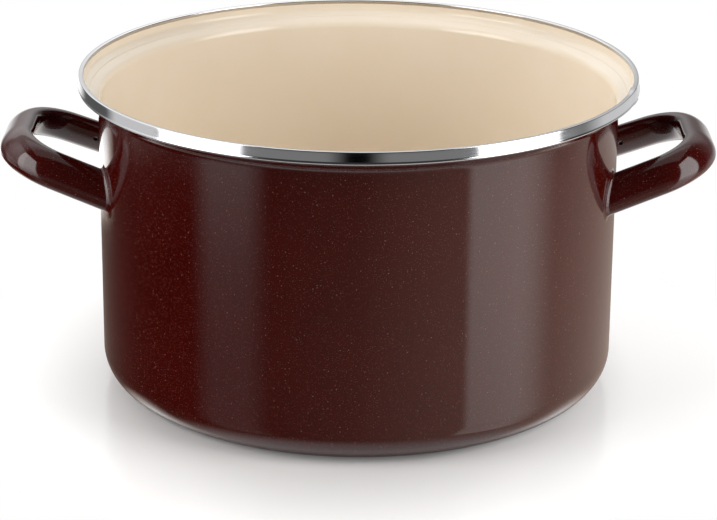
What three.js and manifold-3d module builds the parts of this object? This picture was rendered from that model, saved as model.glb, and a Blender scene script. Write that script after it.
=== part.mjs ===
// Enamelled steel casserole pot with two fixed loop handles and no lid.
// Millimetres, +Z up. The pot's axis is Z, it stands on Z = 0 and its handles lie on +X and -X.
import * as THREE from 'three';
import { mergeVertices } from 'three/addons/utils/BufferGeometryUtils.js';
import Module from 'manifold-3d';

const wasm = await Module();
wasm.setup();

const degrees = THREE.MathUtils.degToRad;

// Body: one drawn steel shell with a coat of enamel fused on each face
const BODY_DIAMETER = 240;
const POT_HEIGHT = 148;
const BASE_INSIDE_RADIUS = 14.6;
const STEEL_THICKNESS = 0.8;
const ENAMEL_THICKNESS = 0.3;

// Lid seat: the wall steps out to a sloping ledge, then rises as a slightly flared lip
const LID_SEAT_DEPTH = 11;
const SEAT_STEP = 8;
const SEAT_SLOPE = degrees(30);
const SHOULDER_RADIUS = 2;
const SEAT_CORNER_RADIUS = 2.2;
const LIP_FLARE = degrees(7);

// Rim band: a thin stainless channel rolled over the lip, with one butt seam
const BAND_THICKNESS = 0.5;
const BAND_CLEARANCE = 0.1;
const BAND_OUTER_DEPTH = 5.65;
const BAND_INNER_DEPTH = 1.9;
const BAND_SEAM_GAP = 0.3;
const BAND_SEAM_ANGLE = degrees(-13);

// Handle: a hollow oval tube bent to a loop that slopes up and out from the wall
const HANDLE_HEIGHT = 101.5;
const HANDLE_RISE = degrees(20.75);
const GRIP_STANDOFF = 40;
const LEG_SPACING = 71.4;
const LEG_TOE_IN = degrees(5);
const HANDLE_CORNER_RADIUS = 24;
const SECTION_LONG = 17.5;
const SECTION_SHORT = 10.9;
const SECTION_LEAN = degrees(30);
const TUBE_WALL = 1.2;
const COAT_GAP = 0.05;
const FOOT_GAP = 0.3;
const VENT_DIAMETER = 2.5;
const VENT_FROM_WALL = 6;
const WELD_LEG = 2.6;
const WELD_EDGE = 0.25;

// Steps of the faceted surfaces
const ROUND_STEPS = 48;
const BASE_CORNER_STEPS = 4;
const SEAT_BEND_STEPS = 2;
const BAND_ROLL_STEPS = 4;
const TUBE_SIDES = 12;
const TUBE_STEPS = 28;
const VENT_SIDES = 10;

const bodyRadius = BODY_DIAMETER / 2;
const wall = STEEL_THICKNESS + 2 * ENAMEL_THICKNESS;

// Closed solids: conversion to and from the library that joins and cuts them
function solid(geometry) {
  const bare = geometry.clone();
  bare.deleteAttribute('normal');
  bare.deleteAttribute('uv');
  const merged = mergeVertices(bare, 1e-5);
  return new wasm.Manifold(new wasm.Mesh({
    numProp: 3,
    vertProperties: new Float32Array(merged.attributes.position.array),
    triVerts: new Uint32Array(merged.index.array),
  }));
}

function geometryOf(body) {
  const mesh = body.getMesh();
  const geometry = new THREE.BufferGeometry();
  geometry.setAttribute('position', new THREE.BufferAttribute(new Float32Array(mesh.vertProperties), 3));
  geometry.setIndex(new THREE.BufferAttribute(new Uint32Array(mesh.triVerts), 1));
  geometry.computeVertexNormals();
  return geometry;
}

// A profile of (radius, height) points turned round the pot's axis
function turned(profile) {
  const geometry = new THREE.LatheGeometry(profile, ROUND_STEPS);
  geometry.rotateX(Math.PI / 2);
  return geometry;
}

// Outside face of the wall from the axis to the lip, with its outward normals.
// A bend to the left is convex outside, a bend to the right is hollow outside.
function bentFace(corners) {
  const face = [];
  const along = (a, b) => new THREE.Vector2(b.x - a.x, b.y - a.y).normalize();
  const outward = (direction) => new THREE.Vector2(direction.y, -direction.x);
  corners.forEach((corner, i) => {
    const before = i > 0 ? along(corners[i - 1].at, corner.at) : null;
    const after = i < corners.length - 1 ? along(corner.at, corners[i + 1].at) : null;
    if (!before || !after) {
      face.push({ at: corner.at.clone(), normal: outward(before ?? after) });
      return;
    }
    const turn = Math.atan2(before.cross(after), before.dot(after));
    const bend = Math.sign(turn);
    const reach = corner.radius * Math.tan(Math.abs(turn) / 2);
    const start = corner.at.clone().addScaledVector(before, -reach);
    const normal = outward(before);
    const centre = start.clone().addScaledVector(normal, -bend * corner.radius);
    for (let k = 0; k <= corner.steps; k++) {
      const n = normal.clone().rotateAround(new THREE.Vector2(), (turn * k) / corner.steps);
      face.push({ at: centre.clone().addScaledVector(n, bend * corner.radius), normal: n });
    }
  });
  return face;
}

// Rim band half width, and the lip's place under it
const bandRoll = wall / 2 + BAND_CLEARANCE + BAND_THICKNESS;
const lipUp = new THREE.Vector2(Math.sin(LIP_FLARE), Math.cos(LIP_FLARE));
const lipOut = new THREE.Vector2(lipUp.y, -lipUp.x);
const seatFoot = new THREE.Vector2(bodyRadius, POT_HEIGHT - LID_SEAT_DEPTH);
const shoulder = new THREE.Vector2(SEAT_STEP, SEAT_STEP * Math.tan(SEAT_SLOPE)).add(seatFoot);
const lipTop = POT_HEIGHT - bandRoll + (wall / 2) * lipOut.y;
const lipEnd = shoulder.clone().addScaledVector(lipUp, (lipTop - shoulder.y) / lipUp.y);

const outsideFace = bentFace([
  { at: new THREE.Vector2(0, 0) },
  { at: new THREE.Vector2(bodyRadius, 0), radius: BASE_INSIDE_RADIUS + wall, steps: BASE_CORNER_STEPS },
  { at: seatFoot, radius: SHOULDER_RADIUS, steps: SEAT_BEND_STEPS },
  { at: shoulder, radius: SEAT_CORNER_RADIUS + wall, steps: SEAT_BEND_STEPS },
  { at: lipEnd },
]);

// One layer of the wall, between two depths below its outside face
function layer(outerDepth, innerDepth) {
  const atDepth = (depth) => outsideFace.map(({ at, normal }) => at.clone().addScaledVector(normal, -depth));
  return turned([...atDepth(outerDepth), ...atDepth(innerDepth).reverse()]);
}

const outerCoat = layer(0, ENAMEL_THICKNESS);
const shell = layer(ENAMEL_THICKNESS, ENAMEL_THICKNESS + STEEL_THICKNESS);
const innerCoat = layer(ENAMEL_THICKNESS + STEEL_THICKNESS, wall);

// Rim band: its section stands on the lip's middle, and one thin slot is its butt seam
function rimBand() {
  const lipMiddle = lipEnd.clone().addScaledVector(lipOut, -wall / 2);
  const place = (out, up) => lipMiddle.clone().addScaledVector(lipOut, out).addScaledVector(lipUp, up);
  const roll = (radius) => Array.from({ length: BAND_ROLL_STEPS + 1 }, (_, k) => {
    const a = (Math.PI * k) / BAND_ROLL_STEPS;
    return place(radius * Math.cos(a), radius * Math.sin(a));
  });
  const inside = wall / 2 + BAND_CLEARANCE;
  const outerEnd = bandRoll - BAND_OUTER_DEPTH;
  const innerEnd = bandRoll - BAND_INNER_DEPTH;
  const section = [
    place(bandRoll, outerEnd),
    ...roll(bandRoll),
    place(-bandRoll, innerEnd),
    place(-inside, innerEnd),
    ...roll(inside).reverse(),
    place(inside, outerEnd),
    place(bandRoll, outerEnd),
  ];
  const slotLength = 4 * bandRoll + 2 * BAND_OUTER_DEPTH;
  const slot = new THREE.BoxGeometry(slotLength, BAND_SEAM_GAP, slotLength);
  slot.translate(lipMiddle.x, 0, lipMiddle.y);
  slot.rotateZ(BAND_SEAM_ANGLE);
  return geometryOf(solid(turned(section)).subtract(solid(slot)));
}

// Handle plane: p runs up the slope from the wall, y runs across
const slopeUp = new THREE.Vector3(Math.cos(HANDLE_RISE), 0, Math.sin(HANDLE_RISE));
const planeUp = new THREE.Vector3(-Math.sin(HANDLE_RISE), 0, Math.cos(HANDLE_RISE));
const across = new THREE.Vector3(0, 1, 0);

function inHandlePlane(p, y) {
  const datum = new THREE.Vector3(bodyRadius, 0, HANDLE_HEIGHT);
  return datum.addScaledVector(slopeUp, p).addScaledVector(across, y);
}

// Handle centreline from the front foot, round the grip, to the rear foot
class HandleLoop extends THREE.Curve {
  constructor() {
    super();
    const halfLegs = LEG_SPACING / 2;
    const fits = (halfLegs - Math.tan(LEG_TOE_IN) * GRIP_STANDOFF)
      / (1 / Math.cos(LEG_TOE_IN) - Math.tan(LEG_TOE_IN));
    this.radius = Math.min(HANDLE_CORNER_RADIUS, fits);
    this.centreP = GRIP_STANDOFF - this.radius;
    this.centreY = halfLegs - Math.tan(LEG_TOE_IN) * this.centreP - this.radius / Math.cos(LEG_TOE_IN);
    this.bend = Math.PI / 2 - LEG_TOE_IN;
    // The feet start inside the wall, at the depth that the widest leg needs
    const footP = -((halfLegs + SECTION_LONG) ** 2) / bodyRadius;
    const legEndP = this.centreP + this.radius * Math.sin(LEG_TOE_IN);
    this.leg = (legEndP - footP) / Math.cos(LEG_TOE_IN);
    this.arc = this.radius * this.bend;
    this.half = this.leg + this.arc + this.centreY;
  }

  getPoint(t, target = new THREE.Vector3()) {
    const side = t < 0.5 ? -1 : 1;
    const s = this.half * (1 - Math.abs(2 * t - 1));
    const c = Math.cos(LEG_TOE_IN);
    const d = Math.sin(LEG_TOE_IN);
    let p = this.centreP + this.radius * d;
    let y = this.centreY + this.radius * c;
    if (s < this.leg) {
      p -= c * (this.leg - s);
      y += d * (this.leg - s);
    } else if (s < this.leg + this.arc) {
      const a = LEG_TOE_IN + (s - this.leg) / this.radius;
      p = this.centreP + this.radius * Math.sin(a);
      y = this.centreY + this.radius * Math.cos(a);
    } else {
      p = this.centreP + this.radius;
      y = this.half - s;
    }
    return target.copy(inHandlePlane(p, side * y));
  }
}

const loop = new HandleLoop();
const frames = loop.computeFrenetFrames(TUBE_STEPS, false);
const legOutward = across.clone().multiplyScalar(-Math.cos(LEG_TOE_IN))
  .addScaledVector(slopeUp, Math.sin(LEG_TOE_IN));
const normalSign = Math.sign(frames.normals[0].dot(legOutward));
const binormalSign = Math.sign(frames.binormals[0].dot(planeUp));

// The tube's oval: its long axis leans in towards the loop at the top
function oval(grow) {
  return Array.from({ length: TUBE_SIDES }, (_, i) => {
    const a = (2 * Math.PI * i) / TUBE_SIDES;
    const long = (SECTION_LONG / 2 + grow) * Math.cos(a);
    const short = (SECTION_SHORT / 2 + grow) * Math.sin(a);
    const out = short * Math.cos(SECTION_LEAN) - long * Math.sin(SECTION_LEAN);
    const up = short * Math.sin(SECTION_LEAN) + long * Math.cos(SECTION_LEAN);
    return new THREE.Vector2(normalSign * out, binormalSign * up);
  });
}

function sweptRing(outerGrow, innerGrow) {
  const shape = new THREE.Shape(oval(outerGrow));
  shape.holes.push(new THREE.Path(oval(innerGrow)));
  return new THREE.ExtrudeGeometry(shape, { steps: TUBE_STEPS, extrudePath: loop });
}

// What the pot's wall takes from a handle's feet, and the two vents in the legs' inner sides
function wallPlug() {
  const plug = new THREE.CylinderGeometry(
    bodyRadius + FOOT_GAP, bodyRadius + FOOT_GAP, 2 * POT_HEIGHT, ROUND_STEPS);
  plug.rotateX(Math.PI / 2);
  return solid(plug);
}

function vent(side) {
  const length = SECTION_LONG;
  const hole = new THREE.CylinderGeometry(VENT_DIAMETER / 2, VENT_DIAMETER / 2, length, VENT_SIDES);
  hole.translate(0, -side * length / 2, 0);
  hole.rotateZ(-side * LEG_TOE_IN);
  hole.rotateY(-HANDLE_RISE);
  const legY = LEG_SPACING / 2 - Math.tan(LEG_TOE_IN) * VENT_FROM_WALL;
  const at = inHandlePlane(VENT_FROM_WALL, side * legY);
  hole.translate(at.x, at.y, at.z);
  return solid(hole);
}

function tubePiece(outerGrow, innerGrow) {
  const ring = solid(sweptRing(outerGrow, innerGrow));
  return geometryOf(ring.subtract(wallPlug()).subtract(vent(-1)).subtract(vent(1)));
}

// Weld fillet round one foot: each of the oval's edges meets the wall at its own place
function weldFillet(end) {
  const last = end === 'front' ? 0 : TUBE_STEPS;
  const start = loop.getPoint(last / TUBE_STEPS);
  const outwards = frames.tangents[last].clone().multiplyScalar(last ? -1 : 1);
  const meets = (point) => {
    const a = outwards.x ** 2 + outwards.y ** 2;
    const b = point.x * outwards.x + point.y * outwards.y;
    const c = point.x ** 2 + point.y ** 2 - bodyRadius ** 2;
    return (-b + Math.sqrt(b * b - a * c)) / a;
  };
  const onOval = ({ x, y }) => start.clone()
    .addScaledVector(frames.normals[last], x).addScaledVector(frames.binormals[last], y);
  const depths = oval(0).map((point) => meets(onOval(point)));
  const ringAt = (grow, height) => oval(grow)
    .map((point, i) => onOval(point).addScaledVector(outwards, depths[i] + height));
  const rings = [
    ringAt(WELD_LEG, -WELD_LEG),
    ringAt(WELD_LEG, WELD_EDGE),
    ringAt(WELD_LEG * 0.4, WELD_LEG * 0.4),
    ringAt(WELD_EDGE, WELD_LEG),
    ringAt(0, WELD_LEG),
    ringAt(0, -WELD_LEG),
  ];
  const flip = (normalSign * binormalSign > 0) === (end === 'front');
  const corners = rings.flat();
  const faces = [];
  rings.forEach((_, k) => {
    const next = ((k + 1) % rings.length) * TUBE_SIDES;
    for (let i = 0; i < TUBE_SIDES; i++) {
      const j = (i + 1) % TUBE_SIDES;
      const quad = [k * TUBE_SIDES + i, k * TUBE_SIDES + j, next + j, next + i];
      if (flip) quad.reverse();
      faces.push(quad[0], quad[1], quad[2], quad[0], quad[2], quad[3]);
    }
  });
  const collar = new THREE.BufferGeometry().setFromPoints(corners);
  collar.setIndex(faces);
  return geometryOf(solid(collar).subtract(wallPlug()));
}

// Finishes
const brownEnamel = new THREE.MeshStandardMaterial({ color: 0x341713, roughness: 0.12, metalness: 0 });
const creamEnamel = new THREE.MeshStandardMaterial({ color: 0xe7d5b8, roughness: 0.18, metalness: 0 });
const stainless = new THREE.MeshStandardMaterial({ color: 0xcfcfd2, roughness: 0.14, metalness: 1 });
const bareSteel = new THREE.MeshStandardMaterial({ color: 0x85878a, roughness: 0.5, metalness: 1 });

function piece(name, geometry, material) {
  const mesh = new THREE.Mesh(geometry, material);
  mesh.name = name;
  return mesh;
}

const pot = new THREE.Group();
pot.add(
  piece('steel_shell', shell, bareSteel),
  piece('outer_enamel', outerCoat, brownEnamel),
  piece('inner_enamel', innerCoat, creamEnamel),
  piece('rim_band', rimBand(), stainless),
);

const tubeDepth = ENAMEL_THICKNESS + COAT_GAP;
const tube = tubePiece(-tubeDepth, -tubeDepth - TUBE_WALL);
const tubeCoat = tubePiece(0, -ENAMEL_THICKNESS);
const frontFillet = weldFillet('front');
const rearFillet = weldFillet('rear');

const rightHandle = new THREE.Group();
rightHandle.add(
  piece('handle_right_tube', tube, bareSteel),
  piece('handle_right_enamel', tubeCoat, brownEnamel),
  piece('weld_right_front', frontFillet, brownEnamel),
  piece('weld_right_rear', rearFillet, brownEnamel),
);

// The left handle is the same piece turned half round, so its feet change places
const leftHandle = new THREE.Group();
leftHandle.rotation.z = Math.PI;
leftHandle.add(
  piece('handle_left_tube', tube, bareSteel),
  piece('handle_left_enamel', tubeCoat, brownEnamel),
  piece('weld_left_rear', frontFillet, brownEnamel),
  piece('weld_left_front', rearFillet, brownEnamel),
);

pot.add(rightHandle, leftHandle);

export default pot;
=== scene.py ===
# %% [markdown]
# # An enamelled steel pot
# The imported CAD model is the frame of this lesson: it fixes the pot's size and the place of
# every piece. Blender works here in metres in that same frame, so nothing has to be fitted.
# Each CAD solid's box is printed beside the box of its finished piece when the pieces are dressed.

# %% Load the frame
from math import atan2, cos, degrees, pi, radians, sin, sqrt, tan

import bpy
from mathutils import Matrix, Vector


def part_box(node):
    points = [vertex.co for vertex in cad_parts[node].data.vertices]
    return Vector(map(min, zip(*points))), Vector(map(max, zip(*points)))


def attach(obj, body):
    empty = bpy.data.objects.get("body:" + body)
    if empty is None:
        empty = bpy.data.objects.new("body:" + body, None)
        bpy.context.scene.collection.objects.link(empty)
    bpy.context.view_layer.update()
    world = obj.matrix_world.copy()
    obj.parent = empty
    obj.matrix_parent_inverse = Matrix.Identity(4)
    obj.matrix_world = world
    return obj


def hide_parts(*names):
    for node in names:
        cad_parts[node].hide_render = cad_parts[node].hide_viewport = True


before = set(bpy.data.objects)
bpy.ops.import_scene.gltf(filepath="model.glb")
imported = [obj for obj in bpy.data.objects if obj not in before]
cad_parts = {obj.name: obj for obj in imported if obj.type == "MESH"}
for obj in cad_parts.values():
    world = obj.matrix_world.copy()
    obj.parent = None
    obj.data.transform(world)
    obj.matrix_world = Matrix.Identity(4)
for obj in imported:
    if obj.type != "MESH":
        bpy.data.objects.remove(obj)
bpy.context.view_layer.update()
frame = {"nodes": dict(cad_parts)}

MM = 0.001
print("CAD nodes:", ", ".join(frame["nodes"]))

# %% [markdown]
# ## The camera
# A long lens looks down on the pot from about 1.3 m away, low enough to see under the rim and
# high enough to see into the pot. The lens length is worked out from the width of the picture,
# and the small roll follows the horizon of the photograph.

# %% Camera
PICTURE_WIDTH = 717  # pixels
FOCAL_PIXELS = 2715.8
SENSOR_WIDTH = 36.0  # mm
CAMERA_PLACE = Vector((0.0006, -1.2075, 0.4892))
CAMERA_PITCH = 0.3459  # radians below level
CAMERA_ROLL = 0.0079

bpy.ops.object.select_all(action="DESELECT")
bpy.ops.object.camera_add(location=CAMERA_PLACE)
camera = bpy.context.object
camera.name = "camera"
camera.data.sensor_fit = "HORIZONTAL"
camera.data.sensor_width = SENSOR_WIDTH
camera.data.lens = FOCAL_PIXELS * SENSOR_WIDTH / PICTURE_WIDTH
camera.matrix_world = (
    Matrix.Translation(CAMERA_PLACE)
    @ Matrix.Rotation(pi / 2 - CAMERA_PITCH, 4, "X")
    @ Matrix.Rotation(CAMERA_ROLL, 4, "Z")
)
bpy.context.scene.camera = camera
print(f"camera: {camera.data.lens:.1f} mm lens")

# %% [markdown]
# ## The bowl's section
# The bowl is pressed from one sheet: a flat base, a rounded corner, a straight wall, a sloping
# ledge for the lid to rest on, and a lip that leans out a little. Its enamel lies on both faces,
# so all three layers follow one path, each a little deeper than the one outside it. Writing the
# path as a function of that depth keeps the layers touching everywhere.

# %% Section path
WALL_RADIUS = 120.0
BASE_CORNER = 16.0
SEAT_FOOT = 137.0  # where the ledge leaves the wall, outside
SEAT_STEP = 8.0
SEAT_SLOPE = 30  # degrees
HOLLOW = 2.4  # rounding under the ledge, outside
SEAT_CORNER = 3.6  # rounding between ledge and lip, outside
LIP_FLARE = radians(3)
LIP_END = (128.26, 146.615)
LIP_OUT = Vector((cos(LIP_FLARE), -sin(LIP_FLARE)))
LIP_UP = Vector((sin(LIP_FLARE), cos(LIP_FLARE)))
SLOPE_UP = Vector((cos(radians(SEAT_SLOPE)), sin(radians(SEAT_SLOPE))))
SLOPE_IN = Vector((-SLOPE_UP.y, SLOPE_UP.x))  # square to the ledge, towards the inside
INNER_FACE = 1.4  # depth of the inside face under the outside one
LINE_ALONG = 3.2  # a fine pressed line lies this far up the ledge
LINE_SHAPE = [  # along the ledge and below it
    (-0.45, 0.0), (-0.3, 0.02), (0.0, 0.16), (0.3, 0.02), (0.45, 0.0),
]
EDGE_SUPPORT = 0.7  # a ring this close to each rounding keeps the flats flat in shading
WALL_RINGS = (40, 65, 90, 115)  # heights of rings on the straight wall
BASE_STEPS = 24
SEAT_STEPS = 10


def arc(centre, radius, start, stop, steps):
    """Points of an arc as (radius from the pot's axis, height)."""
    angles = [radians(start + (stop - start) * step / steps) for step in range(steps + 1)]
    return [(centre[0] + radius * cos(a), centre[1] + radius * sin(a)) for a in angles]


def seat_line(start):
    """The line pressed in the ledge, on the inside only: points along and below the slope."""
    middle = Vector(start) + SLOPE_UP * LINE_ALONG
    return [tuple(middle + SLOPE_UP * along - SLOPE_IN * deep) for along, deep in LINE_SHAPE]


def wall_path(depth):
    """The bowl's section from its middle to its lip, depth mm in from the outside face."""
    wall = WALL_RADIUS - depth
    flat = WALL_RADIUS - BASE_CORNER
    hollow_foot = SEAT_FOOT - HOLLOW * tan(radians(90 - SEAT_SLOPE) / 2)
    shoulder = Vector((WALL_RADIUS, SEAT_FOOT)) + SLOPE_UP * SEAT_STEP / SLOPE_UP.x
    corner_turn = radians(90 - SEAT_SLOPE) - LIP_FLARE
    corner_foot = shoulder - SLOPE_UP * SEAT_CORNER * tan(corner_turn / 2)
    heights = [BASE_CORNER + EDGE_SUPPORT, *WALL_RINGS, hollow_foot - EDGE_SUPPORT]
    hollow_middle = (WALL_RADIUS + HOLLOW, hollow_foot)
    hollow = arc(hollow_middle, HOLLOW + depth, 180, 90 + SEAT_SLOPE, SEAT_STEPS)
    corner_middle = corner_foot + SLOPE_IN * SEAT_CORNER
    corner = arc(
        corner_middle, SEAT_CORNER - depth, SEAT_SLOPE - 90, -degrees(LIP_FLARE), SEAT_STEPS
    )
    return [
        (0, depth),
        (flat / 2, depth),
        (flat - EDGE_SUPPORT, depth),
        *arc((flat, BASE_CORNER), BASE_CORNER - depth, -90, 0, BASE_STEPS),
        *[(wall, height) for height in heights],
        *hollow,
        tuple(Vector(hollow[-1]) + SLOPE_UP * EDGE_SUPPORT),
        *(seat_line(hollow[-1]) if depth == INNER_FACE else []),
        tuple(Vector(corner[0]) - SLOPE_UP * EDGE_SUPPORT),
        *corner,
        tuple(Vector(corner[-1]) + LIP_UP * EDGE_SUPPORT),
        tuple(Vector(LIP_END) - LIP_OUT * depth),
    ]


print(f"section path: {len(wall_path(0))} points, lip ends at {wall_path(0)[-1]}")

# %% [markdown]
# ## Steel bowl and its two coats of enamel
# Each layer is drawn as a line of vertices and spun round the pot's axis, as a spinner turns a
# bowl. The line starts from one vertex that is extruded from point to point. After the spin,
# doubles are merged so the poles and the seam close, and then the normals are turned outwards.

# %% Turn the three layers
TURNS = 160  # faces round the pot
COAT = 0.3  # thickness of the enamel
SHEET = 0.8  # thickness of the steel
OUTER_COAT = (0.0, COAT)
STEEL = (COAT, COAT + SHEET)
INNER_COAT = (COAT + SHEET, INNER_FACE)
SMOOTH_ANGLE = radians(38)
MERGE = 1e-6  # vertices closer than this, in m, are one


def draw_line(name, points):
    """A new object whose vertices follow the points (x, y, z), in metres."""
    bpy.ops.object.select_all(action="DESELECT")
    bpy.ops.mesh.primitive_plane_add(size=MM)
    piece = bpy.context.object
    piece.name = piece.data.name = name
    bpy.ops.object.mode_set(mode="EDIT")
    bpy.ops.mesh.merge(type="CENTER")
    bpy.ops.transform.translate(value=points[0])
    for here, there in zip(points, points[1:]):
        step = Vector(there) - Vector(here)
        bpy.ops.mesh.extrude_region_move(TRANSFORM_OT_translate={"value": step})
    return piece


def close_and_smooth(piece):
    """Merge doubles, turn the faces outwards, leave edit mode and shade smooth."""
    bpy.ops.mesh.select_all(action="SELECT")
    bpy.ops.mesh.remove_doubles(threshold=MERGE)
    bpy.ops.mesh.normals_make_consistent(inside=False)
    bpy.ops.object.mode_set(mode="OBJECT")
    bpy.ops.object.shade_smooth_by_angle(angle=SMOOTH_ANGLE)
    print(f"{piece.name}: {len(piece.data.polygons)} faces")
    return piece


def turn_layer(name, depths):
    """One closed layer of the bowl between two depths under the outside face."""
    outline = wall_path(depths[0]) + wall_path(depths[1])[::-1]
    piece = draw_line(name, [(r * MM, 0, z * MM) for r, z in outline])
    bpy.ops.mesh.select_all(action="SELECT")
    bpy.ops.mesh.spin(steps=TURNS, angle=2 * pi, center=(0, 0, 0), axis=(0, 0, 1))
    return close_and_smooth(piece)


outer_coat = turn_layer("brown_coat", OUTER_COAT)
steel_bowl = turn_layer("steel_bowl", STEEL)
inner_coat = turn_layer("cream_coat", INNER_COAT)

# %% [markdown]
# ## Rim band
# A strip of stainless steel is folded over the lip to protect the enamel's edge. Its section is
# an upside-down U with a long outer leg whose lower edge is turned out to a fine bead, and its
# face leans in a little towards the top. It could be lofted along a circle, but a spin keeps
# the section true. It is spun almost once round, and then its last few millimetres are raised
# over its first ones: that small step is where the strip's ends meet on the real pot.

# %% Band section
BAND_MIDDLE = Vector((127.56, 146.75))
BAND_LEAN = radians(5)  # its face leans in towards the top
BAND_OUT = Vector((cos(BAND_LEAN), sin(BAND_LEAN)))
BAND_UP = Vector((-sin(BAND_LEAN), cos(BAND_LEAN)))
BAND_OUTSIDE = 1.1
BAND_INSIDE = 0.75
BAND_TOP = 1.1
BAND_CROWN = 0.05
BAND_CORNER = 0.4
BAND_SKIRT = 4.37
BAND_RETURN = 0.6
CUT_EDGE = 0.1  # the strip's edges are broken by this much
RETURN_EDGE = (0.12, 0.15)  # the edge that shows inside is rounder
BEAD = [  # out from the band's face, and up from its lower edge
    (0.05, -0.02), (0.165, 0.12), (0.22, 0.34), (0.154, 0.6), (0.0484, 0.8), (0, 0.95), (0, 1.25),
]
FACE_RINGS = (-2.0, -0.3)  # heights of rings on the face, from the middle of the fold
CORNER_STEPS = 8
FOLD_STEPS = 16


def band_point(out, up):
    """A point of the band's section, measured from the middle of its fold."""
    spot = BAND_MIDDLE + BAND_OUT * out + BAND_UP * up
    return (spot.x, spot.y)


def band_arc(out, up, radius, start, stop, steps):
    """An arc of the section round a middle given in the band's own directions."""
    return [band_point(*spot) for spot in arc((out, up), radius, start, stop, steps)]


corner_out, corner_up = BAND_OUTSIDE - BAND_CORNER, BAND_TOP - BAND_CORNER
band_section = [
    band_point(BAND_INSIDE, -BAND_SKIRT + CUT_EDGE),
    band_point(BAND_INSIDE + CUT_EDGE, -BAND_SKIRT),
    *[band_point(BAND_OUTSIDE + out, -BAND_SKIRT + up) for out, up in BEAD],
    *[band_point(BAND_OUTSIDE, up) for up in FACE_RINGS],
    *band_arc(corner_out, corner_up, BAND_CORNER, 0, 90, CORNER_STEPS),
    band_point(0, BAND_TOP + BAND_CROWN),
    *band_arc(-corner_out, corner_up, BAND_CORNER, 90, 180, CORNER_STEPS),
    band_point(-BAND_OUTSIDE, -BAND_RETURN + RETURN_EDGE[1]),
    band_point(-BAND_OUTSIDE + RETURN_EDGE[0], -BAND_RETURN),
    band_point(-BAND_INSIDE - CUT_EDGE, -BAND_RETURN),
    band_point(-BAND_INSIDE, -BAND_RETURN + CUT_EDGE),
    *band_arc(0, 0, BAND_INSIDE, 180, 0, FOLD_STEPS),
]
print(f"band section: {len(band_section)} points")

# %% Spin the band and lap its ends
BAND_SEAM = radians(-13)  # round from +X, towards the front of the right handle
BAND_STEPS = 240
BAND_GAP = radians(0.15)
LAP = radians(2.6)  # so much of the strip's end is raised
LAP_RAMP = radians(1.5)
LAP_RISE = 0.5

start = Matrix.Rotation(BAND_SEAM, 4, "Z")
outline = [start @ Vector((r * MM, 0, z * MM)) for r, z in band_section]
rim_band = draw_line("rim_band_strip", outline + outline[:1])
bpy.ops.mesh.select_all(action="SELECT")
bpy.ops.mesh.remove_doubles(threshold=MERGE)
bpy.ops.mesh.select_all(action="SELECT")
bpy.ops.mesh.spin(
    steps=BAND_STEPS, angle=2 * pi - BAND_GAP, center=(0, 0, 0), axis=(0, 0, -1),
    use_auto_merge=False,
)
bpy.ops.mesh.select_all(action="SELECT")
bpy.ops.mesh.fill_holes(sides=0)
close_and_smooth(rim_band)

for vertex in rim_band.data.vertices:
    place = vertex.co / MM
    round_angle = atan2(place.y, place.x)
    turned = (round_angle - BAND_SEAM + BAND_GAP / 2) % (2 * pi)
    rise = min(1, max(0, (turned - (2 * pi - LAP - LAP_RAMP)) / LAP_RAMP)) * LAP_RISE
    if rise > 0:
        spot = Vector((sqrt(place.x**2 + place.y**2), place.z)) - BAND_MIDDLE
        out, up = spot.dot(BAND_OUT), spot.dot(BAND_UP)
        away = Vector((out, max(up, 0))).normalized() * rise
        spot = BAND_MIDDLE + BAND_OUT * (out + away.x) + BAND_UP * (up + away.y)
        vertex.co = Vector((spot.x * cos(round_angle), spot.x * sin(round_angle), spot.y)) * MM
band_radius = max(vertex.co.xy.length for vertex in rim_band.data.vertices)
print(f"rim band: outside radius {band_radius / MM:.2f} mm")

# %% [markdown]
# ## Handles
# Each handle is an oval steel tube bent twice into a loop, welded to the wall by its two feet
# and then enamelled with the pot. One oval ring is placed at the front foot. It is extruded up
# the leg, spun round the first bend, extruded along the grip, spun round the second bend and
# extruded down the other leg, as a tube bender would feed it. Solidify then gives it its wall.

# %% Handle measures
HANDLE_HEIGHT = 101.5  # of the legs' middle, where they leave the wall
HANDLE_DATUM = Vector((WALL_RADIUS, 0, HANDLE_HEIGHT))
HANDLE_RISE = radians(20.75)
ALONG = Vector((cos(HANDLE_RISE), 0, sin(HANDLE_RISE)))  # out from the wall, in the loop's plane
ACROSS = Vector((0, 1, 0))
ABOVE = Vector((-sin(HANDLE_RISE), 0, cos(HANDLE_RISE)))  # square to the loop's plane
GRIP_STANDOFF = 40.0
LEG_SPACING = 71.4
LEG_TOE_IN = radians(5)
BEND_RADIUS = 24.0
OVAL_LONG = 8.75
OVAL_SHORT = 5.45
OVAL_LEAN = radians(30)
TUBE_WALL = 1.2
COAT_GAP = 0.05  # the coat stands this far off the tube
FOOT_GAP = 0.3  # the feet stop this far off the wall, inside the weld
FOOT_RADIUS = WALL_RADIUS + FOOT_GAP
BEND_MIDDLE = GRIP_STANDOFF - BEND_RADIUS
BEND_ASIDE = (
    LEG_SPACING / 2 - tan(LEG_TOE_IN) * BEND_MIDDLE - BEND_RADIUS / cos(LEG_TOE_IN)
)
LEG_STOP = BEND_MIDDLE + BEND_RADIUS * sin(LEG_TOE_IN)
LEG_START = -14.0  # the rings begin here, inside the wall, and are cut back to it
OVAL_SIDES = 48
LEG_STEPS = 16
BEND_STEPS = 18
GRIP_STEPS = 6


def loop_point(along, across):
    """A point given in the right handle's own plane, in the pot's frame, in mm."""
    return HANDLE_DATUM + ALONG * along + ACROSS * across


def leg_aside(along):
    """How far a leg's middle stands from the handle's centre line."""
    return LEG_SPACING / 2 - tan(LEG_TOE_IN) * along


print(f"handle: bends centred {BEND_ASIDE:.2f} mm aside, legs stop at {LEG_STOP:.2f} mm")

# %% Directions at a foot
FRONT, REAR = -1, 1


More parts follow.
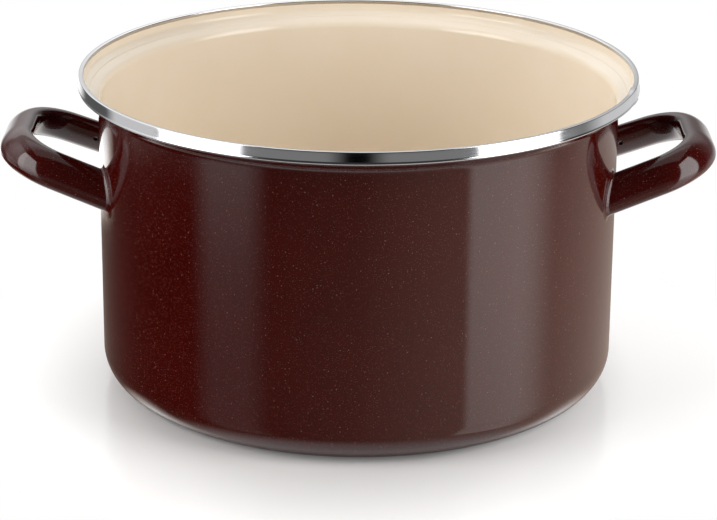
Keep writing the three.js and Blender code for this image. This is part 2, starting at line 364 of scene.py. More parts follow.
def leg_frame(side):
    """Two directions in the loop's plane: up the leg, and outwards from the loop."""
    up_leg = ALONG * cos(LEG_TOE_IN) - ACROSS * side * sin(LEG_TOE_IN)
    outwards = ALONG * sin(LEG_TOE_IN) + ACROSS * side * cos(LEG_TOE_IN)
    return up_leg, outwards


def oval_ways(side):
    """The long and the short direction of the leaning oval."""
    outwards = leg_frame(side)[1]
    long_way = ABOVE * cos(OVAL_LEAN) - outwards * sin(OVAL_LEAN)
    short_way = ABOVE * sin(OVAL_LEAN) + outwards * cos(OVAL_LEAN)
    return long_way, short_way


def wall_reach(spot, direction, radius):
    """How far to go from spot along direction to meet the pot's round wall."""
    a = direction.x**2 + direction.y**2
    b = spot.x * direction.x + spot.y * direction.y
    c = spot.x**2 + spot.y**2 - radius**2
    return (-b + sqrt(b * b - a * c)) / a


print("the front leg runs along", [round(part, 3) for part in leg_frame(FRONT)[0]])

# %% Push, bend and cut
BEND_CLEAR = 6.0  # rings this near to a bend are never moved


def push(way, steps):
    """Extrude the open ring that is selected, in equal steps."""
    for _ in range(steps):
        bpy.ops.mesh.extrude_region_move(TRANSFORM_OT_translate={"value": way * MM / steps})


def bend(middle):
    """Spin the selected ring round a bend of the loop. The operator turns clockwise."""
    bpy.ops.mesh.spin(
        steps=BEND_STEPS, angle=pi / 2 - LEG_TOE_IN, center=middle * MM, axis=-ABOVE,
        use_auto_merge=False,
    )


def cut_feet(piece):
    """Slide every vertex that is inside the wall along its leg, out to the wall."""
    for vertex in piece.data.vertices:
        spot = vertex.co / MM
        side = FRONT if spot.y < 0 else REAR
        up_leg = leg_frame(side)[0]
        reach = wall_reach(spot, up_leg, FOOT_RADIUS)
        ring = (spot - HANDLE_DATUM).dot(ALONG)
        if reach > 0 and ring < LEG_STOP - BEND_CLEAR:
            vertex.co = (spot + up_leg * reach) * MM


print(f"each bend turns {degrees(pi / 2 - LEG_TOE_IN):.0f} degrees in {BEND_STEPS} steps")

# %% Sweep the two skins of a handle
RING_MERGE = 0.05  # rings that end up together at the wall become one


def new_ring(name):
    """A round ring of radius 1 as a new object."""
    bpy.ops.object.select_all(action="DESELECT")
    bpy.ops.mesh.primitive_circle_add(vertices=OVAL_SIDES, radius=1, fill_type="NOTHING")
    piece = bpy.context.object
    piece.name = piece.data.name = name
    return piece


def sweep_handle(name, grow, wall):
    """The right handle as a tube: grow mm outside the oval, a wall, and feet cut to the pot."""
    long_way, short_way = oval_ways(FRONT)
    turn = Matrix((long_way, short_way, long_way.cross(short_way))).transposed().to_4x4()
    foot = loop_point(LEG_START, FRONT * leg_aside(LEG_START))
    size = Matrix.Diagonal((OVAL_LONG + grow, OVAL_SHORT + grow, 1, 1))
    piece = new_ring(name)
    piece.matrix_world = Matrix.Scale(MM, 4) @ Matrix.Translation(foot) @ turn @ size
    bpy.ops.object.transform_apply(location=True, rotation=True, scale=True)
    bpy.ops.object.mode_set(mode="EDIT")
    bpy.ops.mesh.select_all(action="SELECT")

    leg_length = (LEG_STOP - LEG_START) / cos(LEG_TOE_IN)
    push(leg_frame(FRONT)[0] * leg_length, LEG_STEPS)
    bend(loop_point(BEND_MIDDLE, -BEND_ASIDE))
    push(ACROSS * 2 * BEND_ASIDE, GRIP_STEPS)
    bend(loop_point(BEND_MIDDLE, BEND_ASIDE))
    push(-leg_frame(REAR)[0] * leg_length, LEG_STEPS)

    bpy.ops.object.mode_set(mode="OBJECT")
    cut_feet(piece)
    bpy.ops.object.mode_set(mode="EDIT")
    bpy.ops.mesh.select_all(action="SELECT")
    bpy.ops.mesh.remove_doubles(threshold=RING_MERGE * MM)
    bpy.ops.mesh.normals_make_consistent(inside=False)
    bpy.ops.object.mode_set(mode="OBJECT")
    solid = piece.modifiers.new("wall", "SOLIDIFY")
    solid.thickness = wall * MM
    solid.offset = -1
    solid.use_even_offset = True
    bpy.ops.object.modifier_apply(modifier=solid.name)
    bpy.ops.object.shade_smooth_by_angle(angle=SMOOTH_ANGLE)
    print(f"{name}: {len(piece.data.polygons)} faces")
    return piece


handle_coat = sweep_handle("handle_right_brown_coat", grow=0.0, wall=COAT)
handle_tube = sweep_handle("handle_right_steel_tube", grow=-(COAT + COAT_GAP), wall=TUBE_WALL)

# %% [markdown]
# ## Vent holes
# A closed tube would burst in the enamelling furnace, so each leg has a small hole near the
# wall, on the side that faces the other leg. The enamel draws back round it into a soft dimple.
# A trumpet-shaped cutter, spun like the bowl, takes dimple and hole away in one boolean.

# %% Drill the vents
VENT_ALONG = 6.0  # up the leg from the wall
VENT_SIDES = 28
VENT_SHAPE = [  # depth out from the leg's face, and radius
    (-3.5, 0.0), (-3.5, 0.75), (-0.5, 0.75), (-0.25, 0.83), (0.0, 1.05), (0.2, 1.4), (0.5, 2.1),
    (0.5, 0.0),
]


def vent_cutter(side):
    """The cutter for the hole in one leg, set on the leg's inner face."""
    inwards = -leg_frame(side)[1]
    middle = loop_point(VENT_ALONG, side * leg_aside(VENT_ALONG))
    face = 1 / sqrt((sin(OVAL_LEAN) / OVAL_LONG) ** 2 + (cos(OVAL_LEAN) / OVAL_SHORT) ** 2)
    shape = [middle + inwards * (face + out) + ABOVE * wide for out, wide in VENT_SHAPE]
    cutter = draw_line("vent_cutter", [spot * MM for spot in shape])
    bpy.ops.mesh.select_all(action="SELECT")
    bpy.ops.mesh.spin(steps=VENT_SIDES, angle=2 * pi, center=middle * MM, axis=inwards)
    return close_and_smooth(cutter)


def pick(piece):
    """Select one object alone and make it the active one."""
    bpy.ops.object.select_all(action="DESELECT")
    piece.select_set(True)
    bpy.context.view_layer.objects.active = piece


def cut_away(piece, cutter):
    """Take the cutter's shape out of a piece with a boolean, applied at once."""
    pick(piece)
    hole = piece.modifiers.new("hole", "BOOLEAN")
    hole.operation = "DIFFERENCE"
    hole.solver = "EXACT"
    hole.object = cutter
    bpy.ops.object.modifier_apply(modifier=hole.name)
    bpy.ops.object.shade_smooth_by_angle(angle=SMOOTH_ANGLE)


for side in (FRONT, REAR):
    cutter = vent_cutter(side)
    cut_away(handle_coat, cutter)
    cut_away(handle_tube, cutter)
    bpy.data.objects.remove(cutter)
print(f"vents drilled: coat has {len(handle_coat.data.polygons)} faces")

# %% [markdown]
# ## Weld rolls
# A weld runs round each foot, and the enamel smooths it into a small hollow roll between leg
# and wall. It is a sleeve of rings round the foot: a circle is extruded ring by ring, and then
# each ring is laid between wall and leg, so that the roll leaves both of them without a corner.

# %% Roll the welds
WELD_LEG = 2.6
WELD_RINGS = 12
WELD_SINK = 0.03  # both edges run just under the skins they meet
WELD_TUCK = 0.1  # the last ring lies this far under the leg's skin and closes the roll


def weld_roll(name, side):
    """The hollow roll round one foot, closed behind against wall and leg."""
    piece = new_ring(name)
    bpy.ops.object.mode_set(mode="EDIT")
    bpy.ops.mesh.select_all(action="SELECT")
    for _ in range(WELD_RINGS + 1):
        bpy.ops.mesh.extrude_region_move(TRANSFORM_OT_translate={"value": (0, 0, 1)})
    bpy.ops.mesh.select_all(action="DESELECT")
    bpy.ops.mesh.select_non_manifold()
    bpy.ops.mesh.bridge_edge_loops()
    bpy.ops.object.mode_set(mode="OBJECT")

    up_leg = leg_frame(side)[0]
    long_way, short_way = oval_ways(side)
    foot = loop_point(0, side * leg_aside(0))
    for vertex in piece.data.vertices:
        round_angle = atan2(vertex.co.y, vertex.co.x)
        sweep = pi / 2 * min(1, vertex.co.z / WELD_RINGS)
        aside = WELD_LEG * (1 - sin(sweep)) - WELD_SINK
        up = WELD_LEG * (1 - cos(sweep)) - WELD_SINK
        if round(vertex.co.z) > WELD_RINGS:
            aside, up = -WELD_TUCK, 0.0
        spot = (
            foot
            + long_way * (OVAL_LONG + aside) * cos(round_angle)
            + short_way * (OVAL_SHORT + aside) * sin(round_angle)
        )
        reach = wall_reach(spot, up_leg, WALL_RADIUS)
        vertex.co = (spot + up_leg * (reach + up)) * MM
    bpy.ops.object.mode_set(mode="EDIT")
    return close_and_smooth(piece)


weld_front = weld_roll("weld_right_front_roll", FRONT)
weld_rear = weld_roll("weld_right_rear_roll", REAR)

# %% [markdown]
# ## The second handle
# The left handle is the same part turned half round the pot's axis, so each of its pieces is a
# copy with its own mesh. Turning swaps front and rear. The turn is applied at once, so that the
# copies sit at the origin and their place is in their mesh.

# %% Turn copies for the left side


def turned_copy(piece, name):
    """A copy of a piece, turned half round the pot's axis."""
    pick(piece)
    bpy.ops.object.duplicate()
    copy = bpy.context.object
    copy.name = copy.data.name = name
    copy.matrix_world = Matrix.Rotation(pi, 4, "Z")
    bpy.ops.object.transform_apply(location=True, rotation=True, scale=True)
    return copy


left_coat = turned_copy(handle_coat, "handle_left_brown_coat")
left_tube = turned_copy(handle_tube, "handle_left_steel_tube")
left_weld_rear = turned_copy(weld_front, "weld_left_rear_roll")
left_weld_front = turned_copy(weld_rear, "weld_left_front_roll")
print("left handle:", left_coat.name, left_tube.name, left_weld_rear.name, left_weld_front.name)

# %% [markdown]
# ## Materials: colours and nodes
# Colours are written as sRGB hex values, as a colour picker shows them, and one function turns
# them to the linear values that Blender mixes. A second small function adds a node, sets its
# settings and fills its sockets with values or links. All patterns read Object coordinates,
# which are metres in the pot's frame, so a pattern of s mm has a scale of 1 / s.

# %% Colour and node helpers


def linear(hex_colour):
    """An sRGB hex colour as linear red, green, blue and alpha."""
    channels = [int(hex_colour[i:i + 2], 16) / 255 for i in (1, 3, 5)]
    return [c / 12.92 if c <= 0.04045 else ((c + 0.055) / 1.055) ** 2.4 for c in channels] + [1]


def add_node(tree, kind, sockets=None, **settings):
    """Add a node with its settings. Each socket gets a value, or a link from another node."""
    node = tree.nodes.new(kind)
    for name, value in settings.items():
        setattr(node, name, value)
    for key, value in (sockets or {}).items():
        if isinstance(value, bpy.types.NodeSocket):
            tree.links.new(value, node.inputs[key])
        else:
            node.inputs[key].default_value = value
    return node


def new_material(name, **values):
    """A material whose Principled shader has the given socket values."""
    material = bpy.data.materials.new(name)
    material.use_nodes = True
    tree = material.node_tree
    shader = tree.nodes["Principled BSDF"]
    for key, value in values.items():
        shader.inputs[key.replace("_", " ")].default_value = value
    return material, tree, shader


print("linear mid grey:", [round(c, 3) for c in linear("#808080")])

# %% [markdown]
# ## Speckled brown enamel
# Ground coat enamel is glass: brown-black frit melted on the steel at about 820 degrees, with
# pale grains that stay in it as specks. To the eye that is a deep, almost black red-brown under
# a clear gloss, with specks of about half a millimetre scattered at random. A Voronoi texture
# gives each speck its own cell, and the cell's random colour decides which ones show.

# %% Specks in the brown enamel
ENAMEL_IOR = 1.5
SPECKS = [  # cell, radius of a speck, share left out, strength
    (0.6 * MM, 0.22 * MM, 0.25, 0.34),
    (1.7 * MM, 0.36 * MM, 0.45, 0.6),
]

brown_enamel, tree, shader = new_material("brown_vitreous_enamel_speckled", IOR=ENAMEL_IOR)
place = add_node(tree, "ShaderNodeTexCoord").outputs["Object"]
speck_layers = []
for cell, dot_size, rarity, strength in SPECKS:
    cells = add_node(tree, "ShaderNodeTexVoronoi", {"Vector": place, "Scale": 1 / cell})
    dot = add_node(
        tree, "ShaderNodeMapRange",
        {"Value": cells.outputs["Distance"], "From Min": 0, "From Max": dot_size / cell,
         "To Min": 1, "To Max": 0},
        interpolation_type="SMOOTHSTEP",
    )
    chance = add_node(tree, "ShaderNodeSeparateColor", {"Color": cells.outputs["Color"]})
    shown = add_node(
        tree, "ShaderNodeMapRange",
        {"Value": chance.outputs["Red"], "From Min": rarity, "From Max": 1.0,
         "To Min": 0, "To Max": strength},
    )
    speck_layers.append(add_node(
        tree, "ShaderNodeMath", {0: dot.outputs[0], 1: shown.outputs[0]}, operation="MULTIPLY"
    ).outputs[0])
speck = add_node(
    tree, "ShaderNodeMath", {0: speck_layers[0], 1: speck_layers[1]}, operation="MAXIMUM"
)
print("specks:", len(speck_layers), "sizes in", len(tree.nodes), "nodes")

# %% Brown ground and its gloss
BROWN_DEEP = "#340402"
BROWN_WARM = "#3d0603"
SPECK_PALE = "#b08a7c"
BROWN_ROUGHNESS = (0.06, 0.1)
BROWN_PEEL = 0.012 * MM  # depth of the orange peel
CLOUD = 26 * MM
ORANGE_PEEL = 5 * MM
MID_NOISE = (0.3, 0.7)  # most of a noise texture's values lie between these


def give_surface(tree, shader, pattern, roughness, skin, depth):
    """Roughness that follows one pattern, and a fine relief that follows another."""
    gloss = add_node(
        tree, "ShaderNodeMapRange",
        {"Value": pattern, "From Min": MID_NOISE[0], "From Max": MID_NOISE[1],
         "To Min": roughness[0], "To Max": roughness[1]},
    )
    relief = add_node(
        tree, "ShaderNodeBump", {"Height": skin, "Strength": 1.0, "Distance": depth}
    )
    tree.links.new(gloss.outputs[0], shader.inputs["Roughness"])
    tree.links.new(relief.outputs[0], shader.inputs["Normal"])


cloud = add_node(tree, "ShaderNodeTexNoise", {"Vector": place, "Scale": 1 / CLOUD, "Detail": 3})
ground = add_node(
    tree, "ShaderNodeMix",
    {0: cloud.outputs["Fac"], 6: linear(BROWN_DEEP), 7: linear(BROWN_WARM)}, data_type="RGBA",
)
colour = add_node(
    tree, "ShaderNodeMix",
    {0: speck.outputs[0], 6: ground.outputs[2], 7: linear(SPECK_PALE)}, data_type="RGBA",
)
peel = add_node(
    tree, "ShaderNodeTexNoise", {"Vector": place, "Scale": 1 / ORANGE_PEEL, "Detail": 1}
)
give_surface(
    tree, shader, cloud.outputs["Fac"], BROWN_ROUGHNESS, peel.outputs["Fac"], BROWN_PEEL
)
tree.links.new(colour.outputs[2], shader.inputs["Base Color"])
print("brown enamel:", len(tree.nodes), "nodes")

# %% [markdown]
# ## Cream enamel
# The inside carries a white cover coat tinted to cream. It is opaque and glossy, very slightly
# mottled where the coat is thicker or thinner, with an orange-peel skin that softens what it
# reflects. Two noise textures are enough: a broad one for the tint and a fine one for the skin.

# %% Cream enamel
CREAM_THICK = "#f2e6d4"
CREAM_THIN = "#eedfc9"
CREAM_ROUGHNESS = (0.1, 0.16)
CREAM_PEEL = 0.02 * MM

cream_enamel, tree, shader = new_material("cream_vitreous_enamel_glossy", IOR=ENAMEL_IOR)
place = add_node(tree, "ShaderNodeTexCoord").outputs["Object"]
mottle = add_node(tree, "ShaderNodeTexNoise", {"Vector": place, "Scale": 1 / CLOUD, "Detail": 4})
colour = add_node(
    tree, "ShaderNodeMix",
    {0: mottle.outputs["Fac"], 6: linear(CREAM_THICK), 7: linear(CREAM_THIN)}, data_type="RGBA",
)
peel = add_node(
    tree, "ShaderNodeTexNoise", {"Vector": place, "Scale": 1 / ORANGE_PEEL, "Detail": 1}
)
give_surface(
    tree, shader, mottle.outputs["Fac"], CREAM_ROUGHNESS, peel.outputs["Fac"], CREAM_PEEL
)
tree.links.new(colour.outputs[2], shader.inputs["Base Color"])
print("cream enamel:", len(tree.nodes), "nodes")

# %% [markdown]
# ## Polished stainless strip and drawn steel
# The rim strip was rolled bright and polished: it mirrors the studio, with faint lines that run
# round the rim. The steel under the enamel is plain and duller, with drawing lines up the wall.
# One noise texture stretched along the lines, by a Mapping node, gives both their streaks.

# %% Metals
STAINLESS = "#cfcfd1"
DRAWN_STEEL = "#8f8e8b"
POLISH_LINE = 0.25 * MM
DRAWING_LINE = 0.6 * MM
STREAK_LENGTH = 60 * MM
STREAK_DEPTH = 0.001 * MM
STAINLESS_ROUGHNESS = (0.06, 0.14)
STEEL_ROUGHNESS = (0.35, 0.5)


def streaked_metal(name, colour, line, stretch, roughness):
    """A metal with streaks: lines as wide as line, stretched along some of the axes."""
    material, tree, shader = new_material(name, Metallic=1.0, Base_Color=linear(colour))
    place = add_node(tree, "ShaderNodeTexCoord").outputs["Object"]
    drawn = add_node(tree, "ShaderNodeMapping", {"Vector": place, "Scale": stretch})
    streak = add_node(
        tree, "ShaderNodeTexNoise", {"Vector": drawn.outputs[0], "Scale": 1 / line, "Detail": 2}
    )
    lines = streak.outputs["Fac"]
    give_surface(tree, shader, lines, roughness, lines, STREAK_DEPTH)
    print(name, len(tree.nodes), "nodes")
    return material


along_rim = (POLISH_LINE / STREAK_LENGTH, POLISH_LINE / STREAK_LENGTH, 1)
up_wall = (1, 1, DRAWING_LINE / STREAK_LENGTH)
stainless = streaked_metal(
    "stainless_strip_polished", STAINLESS, POLISH_LINE, along_rim, STAINLESS_ROUGHNESS
)
drawn_steel = streaked_metal(
    "low_carbon_steel_drawn", DRAWN_STEEL, DRAWING_LINE, up_wall, STEEL_ROUGHNESS
)

# %% [markdown]
# ## Dress the pieces
# Each piece takes the material of its finish slot and rides on the pot's one body. The CAD node
# that it stands for is hidden, and both boxes are printed side by side. The CAD nodes stay in the
# file for collision, but no longer show.

# %% Finish, body and slot of every piece
FINISHES = {
    "brown_enamel": brown_enamel,
    "cream_enamel": cream_enamel,
    "stainless": stainless,
    "bare_steel": drawn_steel,
}
PIECES = [
    (outer_coat, "outer_enamel", "brown_enamel"),
    (inner_coat, "inner_enamel", "cream_enamel"),
    (steel_bowl, "steel_shell", "bare_steel"),
    (rim_band, "rim_band", "stainless"),
    (handle_coat, "handle_right_enamel", "brown_enamel"),
    (handle_tube, "handle_right_tube", "bare_steel"),
    (weld_front, "weld_right_front", "brown_enamel"),
    (weld_rear, "weld_right_rear", "brown_enamel"),
    (left_coat, "handle_left_enamel", "brown_enamel"),
    (left_tube, "handle_left_tube", "bare_steel"),
    (left_weld_front, "weld_left_front", "brown_enamel"),
    (left_weld_rear, "weld_left_rear", "brown_enamel"),
]
for piece, node, slot in PIECES:
    piece.data.materials.clear()
    piece.data.materials.append(FINISHES[slot])
    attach(piece, "root")
    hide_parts(node)
    low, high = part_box(node)
    ours = [[round(f(v.co[i] for v in piece.data.vertices) / MM, 1) for i in range(3)]
            for f in (min, max)]
    print(piece.name, ours, "CAD", [[round(c / MM, 1) for c in corner] for corner in (low, high)])

# %% [markdown]
# ## Floor
# The pot stands on a pale, slightly glossy sheet that shows a soft contact shadow and a faint
# image of the pot. To the camera it glows a little, and more towards its edge, so that it meets
# the white background without a line. That glow is also painted light: it is weakest in an oval
# round the pot, set a little to the left, and so paints a shade beside the real contact shadow.
# A glossy ray sees only the part of it under the pot and passes through the rest, because the
# enamel mirrors the room that is modelled further down.

# %% Floor sheet
FLOOR_RADIUS = 0.2
FLOOR_SIDES = 96
FLOOR_WHITE = "#e6e4e2"
FLOOR_ROUGHNESS = 0.16
ACRYLIC_IOR = 1.45
FLOOR_PAINTED_GLOW = (0.08, 0.42)  # painted glow: low beside the pot, which paints a shade there, and high at the floor's edge
GLOW_START = 0.125  # the glow grows from here to the floor's edge, in m
PAINTED_SHADE_SHIFT = (0.022, 0, 0)  # the painted shade is centred a little to the left of the pot
PAINTED_SHADE_STRETCH = (1.35, 1, 0)  # and the painted shade reaches less far to the sides than to the front
MIRRORED_FLOOR = (0.112, 0.118)  # the enamel sees the floor up to here, in m

bpy.ops.object.select_all(action="DESELECT")
bpy.ops.mesh.primitive_circle_add(vertices=FLOOR_SIDES, radius=FLOOR_RADIUS, fill_type="NGON")
floor = bpy.context.object
floor.name = floor.data.name = "floor"
floor_white, tree, shader = new_material(
    "pale_acrylic_sheet", Base_Color=linear(FLOOR_WHITE), Roughness=FLOOR_ROUGHNESS,
    IOR=ACRYLIC_IOR,
)
shader.inputs["Emission Color"].default_value = linear("#ffffff")
rays = add_node(tree, "ShaderNodeLightPath")
seen = add_node(
    tree, "ShaderNodeMath",
    {0: rays.outputs["Is Camera Ray"], 1: rays.outputs["Is Transmission Ray"]},
    operation="MAXIMUM",
)
place = add_node(tree, "ShaderNodeTexCoord").outputs["Object"]
away = add_node(tree, "ShaderNodeVectorMath", {0: place}, operation="LENGTH")
# The glow is weakest in this shifted, stretched oval round the pot, so it paints a shade there
# beside the real contact shadow.
oval = add_node(
    tree, "ShaderNodeMapping", {"Vector": place, "Location": PAINTED_SHADE_SHIFT, "Scale": PAINTED_SHADE_STRETCH}
)
off_painted_shade = add_node(tree, "ShaderNodeVectorMath", {0: oval.outputs[0]}, operation="LENGTH")
outwards = add_node(
    tree, "ShaderNodeMapRange",
    {"Value": off_painted_shade.outputs["Value"], "From Min": GLOW_START, "From Max": FLOOR_RADIUS,
     "To Min": FLOOR_PAINTED_GLOW[0], "To Max": FLOOR_PAINTED_GLOW[1]},
)
glow = add_node(
    tree, "ShaderNodeMath", {0: seen.outputs[0], 1: outwards.outputs[0]}, operation="MULTIPLY"
)
tree.links.new(glow.outputs[0], shader.inputs["Emission Strength"])
far = add_node(
    tree, "ShaderNodeMapRange",
    {"Value": away.outputs["Value"], "From Min": MIRRORED_FLOOR[0], "From Max": MIRRORED_FLOOR[1]},
    interpolation_type="SMOOTHSTEP",
)
unseen = add_node(
    tree, "ShaderNodeMath", {0: far.outputs[0], 1: rays.outputs["Is Glossy Ray"]},
    operation="MULTIPLY",
)
clear = add_node(tree, "ShaderNodeBsdfTransparent")
surface = add_node(
    tree, "ShaderNodeMixShader", {0: unseen.outputs[0], 1: shader.outputs[0], 2: clear.outputs[0]}
)
tree.links.new(surface.outputs[0], tree.nodes["Material Output"].inputs["Surface"])
floor.data.materials.append(floor_white)
print(f"floor: {FLOOR_RADIUS} m radius")

# %% [markdown]
# ## Studio light
# Seven soft panels light the pot. A weak one hangs above it. A tall bright one stands at each
# side, with a lower one that carries on below the floor's level, so that together they draw the
# upright bands on the wall. Two dim ones stand behind and at the left, for the rim and inside.
# Radiance is the level that a mirror would show, with 1 for white. A panel could be a glowing
# mesh, but an area lamp gives less noise, and its nodes can fade it towards its edges.

# %% Softboxes


def softbox(name, place, aim, width, height, radiance, fade=(0.0, 0.0), rise=(0.0, 0.0, 0.0)):
    """A panel of light that faces aim. It fades over a share of its width at each side, and
    between two shares of its height it rises from a dim level to its full level."""
    bpy.ops.object.select_all(action="DESELECT")
    bpy.ops.object.light_add(type="AREA", location=place)
    lamp = bpy.context.object
    lamp.name = lamp.data.name = name
    lamp.data.shape = "RECTANGLE"
    lamp.data.size, lamp.data.size_y = width, height
    lamp.data.energy = radiance * pi * width * height
    lamp.rotation_euler = (Vector(aim) - Vector(place)).to_track_quat("-Z", "Y").to_euler()
    lamp.visible_camera = False
    lamp.data.use_nodes = True
    tree = lamp.data.node_tree
    across = add_node(tree, "ShaderNodeNewGeometry").outputs["Parametric"]
    share = add_node(tree, "ShaderNodeSeparateXYZ", {"Vector": across}).outputs
    glow = 1.0
    edges = [("X", 0, fade[0], 0), ("X", 1, 1 - fade[1], 0), ("Y", *rise)]
    for axis, start, stop, dim in edges:
        if start == stop:
            continue
        side = add_node(
            tree, "ShaderNodeMapRange",
            {"Value": share[axis], "From Min": start, "From Max": stop, "To Min": dim},
            interpolation_type="SMOOTHSTEP",
        )
        glow = add_node(
            tree, "ShaderNodeMath", {0: side.outputs[0], 1: glow}, operation="MULTIPLY"
        ).outputs[0]
    if glow != 1.0:
        tree.links.new(glow, tree.nodes["Emission"].inputs["Strength"])
    print(f"{name}: {lamp.data.energy:.1f} W")


print("softbox: radiance 1 over 1 square metre takes", round(pi, 2), "W")

# %% Panels above and behind
softbox("light_top", place=(0, 0.1, 1.1), aim=(0, 0, 0), width=1.1, height=0.9, radiance=0.58)
softbox(
    "light_back", place=(-0.4, 0.95, 0.55), aim=(-0.4, 0, 0.55), width=1.9, height=1.1,
    radiance=0.9, fade=(0.35, 0.2), rise=(0, 0.6, 0),
)
softbox(
    "light_left_rear", place=(-1.14, 0.13, 0.74), aim=(0, 0.13, 0.74), width=1.31, height=1.28,
    radiance=0.95, fade=(0.5, 0.08),
)

# %% Panels at the sides
softbox(
    "light_left", place=(-0.878, -0.503, 0.485), aim=(0, -0.28, 0.485), width=0.73, height=1.23,
    radiance=4.4, fade=(0.05, 0.08), rise=(-0.187, 0.46, 0.06),
)
softbox(
    "light_left_low", place=(-0.9, -0.63, -0.54), aim=(0, 0, -0.54), width=0.8, height=0.82,
    radiance=4.6, fade=(0.35, 0.35), rise=(0.72, 1.69, 0.06),
)
softbox(
    "light_right", place=(0.897, -0.465, 0.65), aim=(0, -0.235, 0.65), width=0.72, height=1.5,
    radiance=4.6, fade=(0.05, 0.1), rise=(0, 0.15, 0.35),
)
softbox(
    "light_right_low", place=(0.971, -0.365, -0.5), aim=(0, 0, -0.5), width=0.95, height=0.9,
    radiance=1.55, fade=(0.1, 0.5), rise=(0.5, 0.85, 0.62),
)

# %% [markdown]
# ## The room
# Glossy enamel shows a whole room, so the world is a plain model of one, drawn from the
# direction of each ray. High up it is dim, with a white backdrop behind at the left. A little
# under the horizon a row of walls and cards stands all round. Below that lies the floor, darker
# at the left, well lit behind, with a white sheet at the left rear. An image of a real room
# would do as well, but levels with names are easier to change. The camera sees plain white.

# %% What stands round the pot
REAR_WALL = 1.2
DARK_GAP = 0.12
GREY_CARD = 0.82
ROOM_GREY = 0.26
CAMERA_DARK = 0.0
PANORAMA = [  # degrees round from the front, and what stands there just under the horizon
    (-180, REAR_WALL), (-157, REAR_WALL), (-146, DARK_GAP), (-121, DARK_GAP),
    (-114, GREY_CARD), (-88, GREY_CARD), (-84, ROOM_GREY), (-12, ROOM_GREY),
    (-4, CAMERA_DARK), (4, CAMERA_DARK), (12, ROOM_GREY), (102, ROOM_GREY),
    (116, GREY_CARD), (170, GREY_CARD), (180, REAR_WALL),
]

world = bpy.data.worlds.new("studio")
bpy.context.scene.world = world
world.use_nodes = True
tree = world.node_tree
way = add_node(tree, "ShaderNodeTexCoord").outputs["Generated"]
parts = add_node(tree, "ShaderNodeSeparateXYZ", {"Vector": way})
ahead = add_node(
    tree, "ShaderNodeMath", {0: parts.outputs["Y"], 1: -1.0}, operation="MULTIPLY"
)
azimuth = add_node(
    tree, "ShaderNodeMath", {0: parts.outputs["X"], 1: ahead.outputs[0]}, operation="ARCTAN2"
)
turned = add_node(
    tree, "ShaderNodeMapRange", {"Value": azimuth.outputs[0], "From Min": -pi, "From Max": pi}
)
around = add_node(tree, "ShaderNodeValToRGB", {"Fac": turned.outputs[0]})
stops = around.color_ramp.elements
while len(stops) < len(PANORAMA):
    stops.new(1.0)
for stop, (angle, level) in zip(stops, PANORAMA):
    stop.position = angle / 360 + 0.5
    stop.color = (level, level, level, 1)
print("round the pot:", len(stops), "stops")

# %% Floor and upper room
ROOM_LEFT = 0.0  # the floor at the left, in the middle and at the right
ROOM_MIDDLE = 0.27
ROOM_RIGHT = 0.95
ROOM_NADIR = 0.95  # the floor straight below
FLOOR_BEHIND = 1.8
WHITE_SHEET = 3.0
SHEET_EDGE = (-147, -136)  # degrees round from the front, at the left
ROOM_FRONT = 0.04  # the upper room in front, and behind
ROOM_REAR = 0.3
WORLD_RAMPS = [  # name, axis of the direction, from, to, value there, value there
    ("left", "X", -1, 0, ROOM_LEFT, ROOM_MIDDLE),  # the floor gets lighter up to the middle
    ("right", "X", 0, 1, 0, ROOM_RIGHT - ROOM_MIDDLE),  # and lighter still to the right
    ("deep", "Z", -0.37, -0.31, 1.15, 0.75),  # its left half darkens towards the walls
    ("nadir", "Z", -0.7, -0.9, 0, 1),  # straight below
    ("rear_half", "Y", 0.3, 0.6, 0, 1),  # the lit floor lies behind the pot
    ("low", "Z", -0.5, -0.65, 0, 1),  # and well below the horizon
    ("sheet_foot", "Z", -0.326, -0.303, 0, 1),  # the white sheet begins here
    ("level", "Z", -0.305, -0.28, 0, 1),  # the walls and cards begin here
    ("above", "Z", -0.1, 0.1, 0, 1),  # and give way to the upper room
    ("rear", "Y", 0.2, 0.6, ROOM_FRONT, ROOM_REAR),  # which is lighter behind
    ("high", "Z", 0.25, 0.65, 0, 1),  # the white backdrop begins here
]

ramps = {
    name: add_node(
        tree, "ShaderNodeMapRange",
        {"Value": parts.outputs[axis], "From Min": start, "From Max": stop,
         "To Min": low, "To Max": high},
    ).outputs[0]
    for name, axis, start, stop, low, high in WORLD_RAMPS
}
lower_left = add_node(
    tree, "ShaderNodeMath", {0: ramps["left"], 1: ramps["deep"]}, operation="MULTIPLY"
)
below = add_node(tree, "ShaderNodeMath", {0: lower_left.outputs[0], 1: ramps["right"]})
room = add_node(tree, "ShaderNodeMix", {0: ramps["nadir"], 2: below.outputs[0], 3: ROOM_NADIR})
lit_floor = add_node(
    tree, "ShaderNodeMath", {0: ramps["rear_half"], 1: ramps["low"]}, operation="MULTIPLY"
).outputs[0]
sheet_side = add_node(
    tree, "ShaderNodeMapRange",
    {"Value": azimuth.outputs[0], "From Min": radians(SHEET_EDGE[0]),
     "From Max": radians(SHEET_EDGE[1]), "To Min": 1, "To Max": 0},
)
sheet = add_node(
    tree, "ShaderNodeMath", {0: sheet_side.outputs[0], 1: ramps["sheet_foot"]},
    operation="MULTIPLY",
).outputs[0]
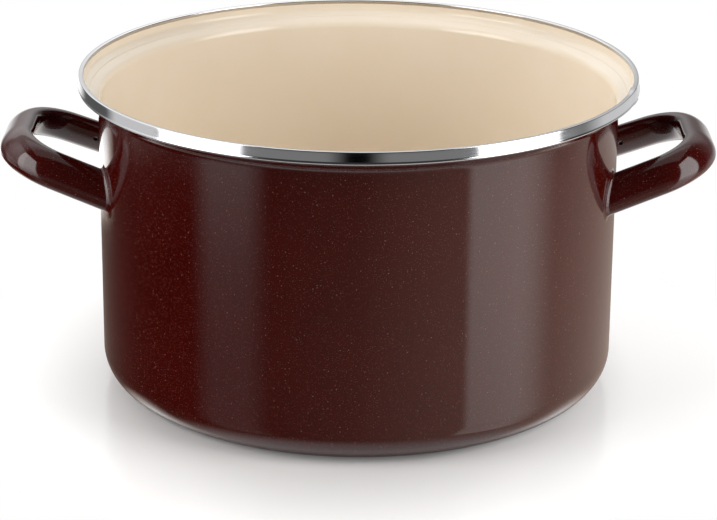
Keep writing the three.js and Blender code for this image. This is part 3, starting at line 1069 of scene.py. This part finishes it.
for share, value in (
    (lit_floor, FLOOR_BEHIND),
    (sheet, WHITE_SHEET),
    (ramps["level"], around.outputs["Color"]),
    (ramps["above"], ramps["rear"]),
):
    room = add_node(tree, "ShaderNodeMix", {0: share, 2: room.outputs[0], 3: value})
print("floor and upper room:", len(ramps), "ramps")

# %% Backdrop, tint and what the camera sees
BACKDROP = 1.0
LEFT_BEHIND = (-0.5, 0.87, 0)  # the backdrop stands this way
BACKDROP_EDGE = (0.15, 0.4)  # how far a ray points that way, where it begins and where it is full
ROOM_TINT = "#ffeada"  # dim parts of the room are a little warm

behind = add_node(
    tree, "ShaderNodeVectorMath", {0: way, 1: LEFT_BEHIND}, operation="DOT_PRODUCT"
)
rear_sheet = add_node(
    tree, "ShaderNodeMapRange",
    {"Value": behind.outputs["Value"], "From Min": BACKDROP_EDGE[0],
     "From Max": BACKDROP_EDGE[1]},
)
backdrop = add_node(
    tree, "ShaderNodeMath", {0: ramps["high"], 1: rear_sheet.outputs[0]}, operation="MULTIPLY"
).outputs[0]
lit = add_node(tree, "ShaderNodeMix", {0: backdrop, 2: room.outputs[0], 3: BACKDROP})
rays = add_node(tree, "ShaderNodeLightPath")
strength = add_node(
    tree, "ShaderNodeMix", {0: rays.outputs["Is Camera Ray"], 2: lit.outputs[0], 3: 1.0}
)
white = add_node(
    tree, "ShaderNodeMath", {0: backdrop, 1: rays.outputs["Is Camera Ray"]},
    operation="MAXIMUM",
)
for neutral in (ramps["level"], ramps["nadir"], lit_floor, sheet):
    white = add_node(
        tree, "ShaderNodeMath", {0: white.outputs[0], 1: neutral}, operation="MAXIMUM"
    )
tint = add_node(
    tree, "ShaderNodeMix",
    {0: white.outputs[0], 6: linear(ROOM_TINT), 7: linear("#ffffff")}, data_type="RGBA",
)
background = tree.nodes["Background"]
tree.links.new(strength.outputs[0], background.inputs["Strength"])
tree.links.new(tint.outputs[2], background.inputs["Color"])
print("world:", len(tree.nodes), "nodes")

# %% [markdown]
# ## Finish
# The view transform is Standard, so a colour shows as it is written.

# %% Finish
bpy.context.scene.view_settings.view_transform = "Standard"
